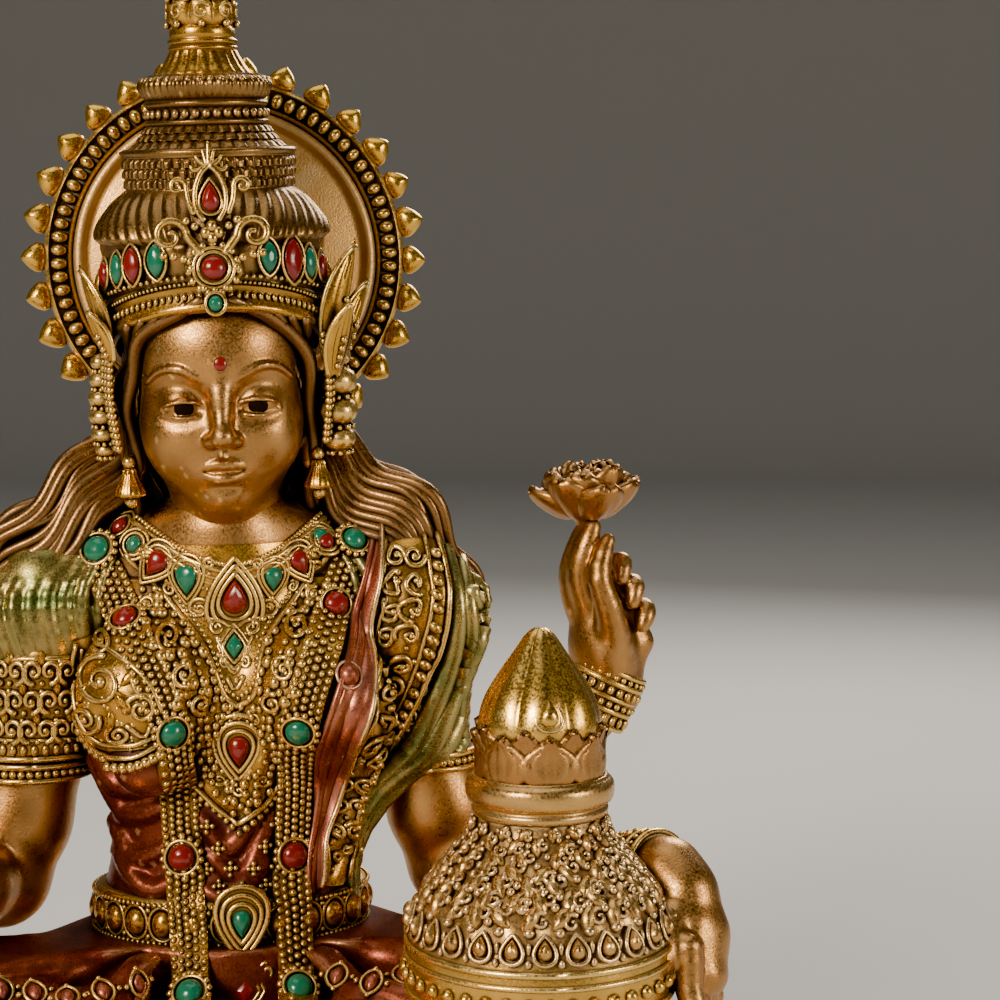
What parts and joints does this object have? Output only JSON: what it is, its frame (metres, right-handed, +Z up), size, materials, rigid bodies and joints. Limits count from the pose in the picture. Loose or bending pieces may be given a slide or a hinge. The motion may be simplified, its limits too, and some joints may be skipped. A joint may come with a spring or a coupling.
{
  "type": "seated deity figurine",
  "caption": "Small cold-cast resin figure of a seated four-armed goddess of fortune on a lotus pedestal, with crown, halo, jewelled necklaces, lotuses and a pot of plenty. Rests on a shelf.",
  "frame": {"origin": "centre of the flat felt underside that rests on the shelf", "axes": "+Z up, longest extent; the figure faces -Y; her right side is -X"},
  "size_m": [0.14, 0.124, 0.2048],
  "materials": {
    "bronze": "cold-cast resin, metallic antique bronze, burnished, dark patina in the recesses",
    "gold": "cold-cast resin, dry-brushed metallic gold over dark bronze",
    "hair": "cold-cast resin, reddish dark bronze, satin",
    "maroon_cloth": "cold-cast resin, maroon wash over bronze, satin",
    "green_cloth": "cold-cast resin, green wash over bronze, satin",
    "red_stone": "gloss enamel, cabochon shape",
    "green_stone": "gloss enamel, cabochon shape",
    "felt": "dark felt"
  },
  "bodies": {
    "root": {"crown_tier": "gold", "head": "bronze", "crown_dome": "gold", "crown_drum": "gold", "crown_collar": "gold", "crown_spire": "gold", "crown_band": "gold", "crown_crest": "gold", "crest_stone": "red_stone", "hair_cap": "hair", "right_crown_wing": "gold", "right_crown_tassel": "gold", "right_earring": "gold", "left_crown_wing": "gold", "left_crown_tassel": "gold", "left_earring": "gold", "kalash_pot": "gold", "kalash_collar": "gold", "mango_leaves": "gold", "coconut": "gold", "skirt": "maroon_cloth", "right_foot": "bronze", "left_foot": "bronze", "sari_fan": "maroon_cloth", "torso": "maroon_cloth", "waist_belt": "gold", "right_sleeve": "green_cloth", "right_armlet": "gold", "right_upper_arm": "bronze", "right_raised_forearm": "bronze", "right_raised_bangle": "gold", "right_lotus": "bronze", "left_sleeve": "green_cloth", "left_armlet": "gold", "left_upper_arm": "bronze", "left_raised_forearm": "bronze", "left_raised_bangle": "gold", "left_lotus": "bronze", "right_blessing_forearm": "bronze", "right_blessing_bangle": "gold", "left_kalash_forearm": "bronze", "left_kalash_bangle": "gold", "halo_disc": "bronze", "halo_bead_ring": "gold", "halo_flames": "gold", "back_hair": "hair", "right_lock": "hair", "left_lock": "hair", "pallu": "maroon_cloth", "pallu_folds": "green_cloth", "collar_necklace": "gold", "pendant": "gold", "belt_jewel": "gold", "right_garland": "gold", "left_garland": "gold", "base_felt": "felt", "pedestal_plinth": "bronze", "lotus_lower_petals": "gold", "lotus_upper_petals": "gold", "lotus_seat": "bronze"}
  },
  "joints": []
}
